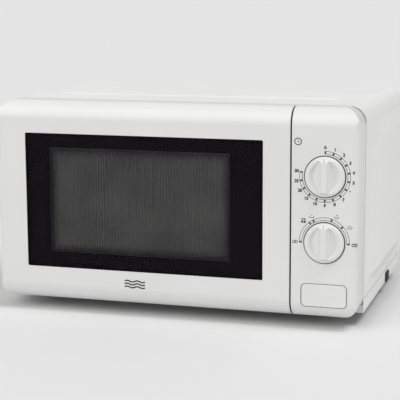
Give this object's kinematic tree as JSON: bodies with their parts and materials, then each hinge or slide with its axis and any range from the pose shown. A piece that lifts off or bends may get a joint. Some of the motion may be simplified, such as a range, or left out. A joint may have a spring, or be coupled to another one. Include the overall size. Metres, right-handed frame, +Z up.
{
  "type": "microwave oven",
  "caption": "Counter-top microwave oven with a side-hinged windowed door, two rotary dials, a push-button door latch and a glass turntable.",
  "frame": {"origin": "middle of the oven's footprint on the surface that its feet stand on", "axes": "+Z up; the door and dials face -Y; +X is to the right of someone facing the door"},
  "size_m": [0.466, 0.334, 0.262],
  "materials": {
    "white_painted_steel": "satin powder coat",
    "white_moulded_plastic": "semi-gloss moulded",
    "zinc_steel": "zinc-plated sheet",
    "white_enamel": "smooth enamel",
    "plated_fasteners": "bright",
    "window_glass": "tinted gloss",
    "clear_film": "clear film",
    "tray_glass": "pressed clear glass",
    "black_screen": "matt black coat",
    "dark_plastic": "fine texture",
    "black_rubber": "matt",
    "mica": "layered sheet",
    "motor_can": "plated can",
    "grey_plastic": "moulded",
    "black_plastic": "moulded",
    "natural_acetal": "smooth moulded",
    "control_unit": "moulded case",
    "aluminium_fins": "bare",
    "ferrite": "sintered",
    "copper_winding": "enamelled wire",
    "circuit_board": "laminate",
    "lamp_glass": "clear bulb"
  },
  "bodies": {
    "oven_body": {"outer_cover": "white_painted_steel", "control_panel": "white_moulded_plastic", "base_plate": "zinc_steel", "rear_panel": "zinc_steel", "waveguide": "zinc_steel", "magnetron_yoke": "zinc_steel", "hinge_brackets": "zinc_steel", "capacitor_clamp": "zinc_steel", "transformer_core": "zinc_steel", "front_plate": "white_enamel", "cavity": "white_enamel", "cover_screws": "plated_fasteners", "hinge_pins": "plated_fasteners", "lever_pin": "plated_fasteners", "button_spring": "plated_fasteners", "feet": "black_rubber", "edge_bumper": "black_rubber", "cord_gland": "black_rubber", "waveguide_cover": "mica", "turntable_motor": "motor_can", "hv_capacitor": "motor_can", "thermal_cutout": "motor_can", "air_duct": "grey_plastic", "fan_shroud": "grey_plastic", "hv_diode": "black_plastic", "door_switches": "black_plastic", "lamp_housing": "black_plastic", "latch_board": "natural_acetal", "timer_unit": "control_unit", "power_selector": "control_unit", "magnetron_tube": "aluminium_fins", "magnetron_magnets": "ferrite", "transformer_windings": "copper_winding", "fan_motor": "copper_winding", "noise_filter_board": "circuit_board", "cavity_lamp": "lamp_glass"},
    "door": {"door_front_panel": "white_moulded_plastic", "window_glass": "window_glass", "door_screen": "black_screen", "window_film": "clear_film", "choke_cover": "dark_plastic", "latch_spring": "plated_fasteners"},
    "latch_key": {"latch_hooks": "natural_acetal"},
    "open_button": {"door_button": "white_moulded_plastic"},
    "lever": {"release_lever": "natural_acetal"},
    "timer_dial": {"timer_knob": "white_moulded_plastic", "timer_shaft": "natural_acetal"},
    "power_dial": {"power_knob": "white_moulded_plastic", "power_shaft": "natural_acetal"},
    "turntable": {"drive_spindle": "plated_fasteners", "turntable_coupler": "grey_plastic", "glass_tray": "tray_glass"},
    "ring": {"roller_ring": "grey_plastic"},
    "wheel_1": {"roller_wheel_1": "natural_acetal"},
    "wheel_2": {"roller_wheel_2": "natural_acetal"},
    "wheel_3": {"roller_wheel_3": "natural_acetal"},
    "fan": {"fan_blade": "black_plastic"},
    "lower_plunger": {"lower_switch_plunger": "natural_acetal"},
    "middle_plunger": {"middle_switch_plunger": "natural_acetal"},
    "upper_plunger": {"upper_switch_plunger": "natural_acetal"}
  },
  "joints": [
    {"name": "door_hinge", "type": "hinge", "parent": "oven_body", "child": "door", "pos_m": [-0.2195, -0.139, 0.138], "axis": [0, 0, -1], "range_deg": [0, 105]},
    {"name": "latch_lift", "type": "slide", "parent": "door", "child": "latch_key", "axis": [0, 0, 1], "range_m": [0, 0.0028], "stiffness_N_per_m": 150, "springref_m": -0.004, "deforming": ["latch_spring"]},
    {"name": "button_press", "type": "slide", "parent": "oven_body", "child": "open_button", "axis": [0, 1, 0], "range_m": [0, 0.005], "stiffness_N_per_m": 400, "springref_m": -0.006, "deforming": ["button_spring"]},
    {"name": "lever_turn", "type": "hinge", "parent": "oven_body", "child": "lever", "pos_m": [0.15, -0.1125, 0.0771], "axis": [1, 0, 0], "range_deg": [0, 11]},
    {"name": "timer_turn", "type": "hinge", "parent": "oven_body", "child": "timer_dial", "pos_m": [0.1857, -0.159, 0.1829], "axis": [0, 1, 0], "range_deg": [0, 280]},
    {"name": "power_turn", "type": "hinge", "parent": "oven_body", "child": "power_dial", "pos_m": [0.1857, -0.159, 0.1058], "axis": [0, 1, 0], "range_deg": [-90, 90]},
    {"name": "turntable_spin", "type": "hinge", "parent": "oven_body", "child": "turntable", "pos_m": [-0.043, 0.01, 0.053], "axis": [0, 0, 1], "continuous": true},
    {"name": "ring_spin", "type": "hinge", "parent": "oven_body", "child": "ring", "pos_m": [-0.043, 0.01, 0.0453], "axis": [0, 0, 1], "continuous": true},
    {"name": "fan_spin", "type": "hinge", "parent": "oven_body", "child": "fan", "pos_m": [0.1679, 0.144, 0.174], "axis": [0, 1, 0], "continuous": true},
    {"name": "wheel_1_spin", "type": "hinge", "parent": "ring", "child": "wheel_1", "pos_m": [-0.043, 0.0985, 0.0453], "axis": [0, 1, 0], "continuous": true},
    {"name": "wheel_2_spin", "type": "hinge", "parent": "ring", "child": "wheel_2", "pos_m": [-0.11964, -0.03425, 0.0453], "axis": [-0.866, -0.5, 0], "continuous": true},
    {"name": "wheel_3_spin", "type": "hinge", "parent": "ring", "child": "wheel_3", "pos_m": [0.03364, -0.03425, 0.0453], "axis": [0.866, -0.5, 0], "continuous": true},
    {"name": "lower_plunger_press", "type": "slide", "parent": "oven_body", "child": "lower_plunger", "axis": [0, 1, 0], "range_m": [0, 0.0015], "stiffness_N_per_m": 250, "springref_m": -0.003},
    {"name": "middle_plunger_press", "type": "slide", "parent": "oven_body", "child": "middle_plunger", "axis": [0, 1, 0], "range_m": [0, 0.0015], "stiffness_N_per_m": 250, "springref_m": -0.003},
    {"name": "upper_plunger_press", "type": "slide", "parent": "oven_body", "child": "upper_plunger", "axis": [0, 1, 0], "range_m": [0, 0.0015], "stiffness_N_per_m": 250, "springref_m": -0.003}
  ],
  "couplings": [
    {"joint": "latch_lift", "follows": "button_press", "ratio": 0.56},
    {"joint": "lever_turn", "follows": "button_press", "rad_per_m": 36.9},
    {"joint": "ring_spin", "follows": "turntable_spin", "ratio": 0.5},
    {"joint": "wheel_1_spin", "follows": "turntable_spin", "ratio": -6.3214},
    {"joint": "wheel_2_spin", "follows": "turntable_spin", "ratio": -6.3214},
    {"joint": "wheel_3_spin", "follows": "turntable_spin", "ratio": -6.3214}
  ]
}
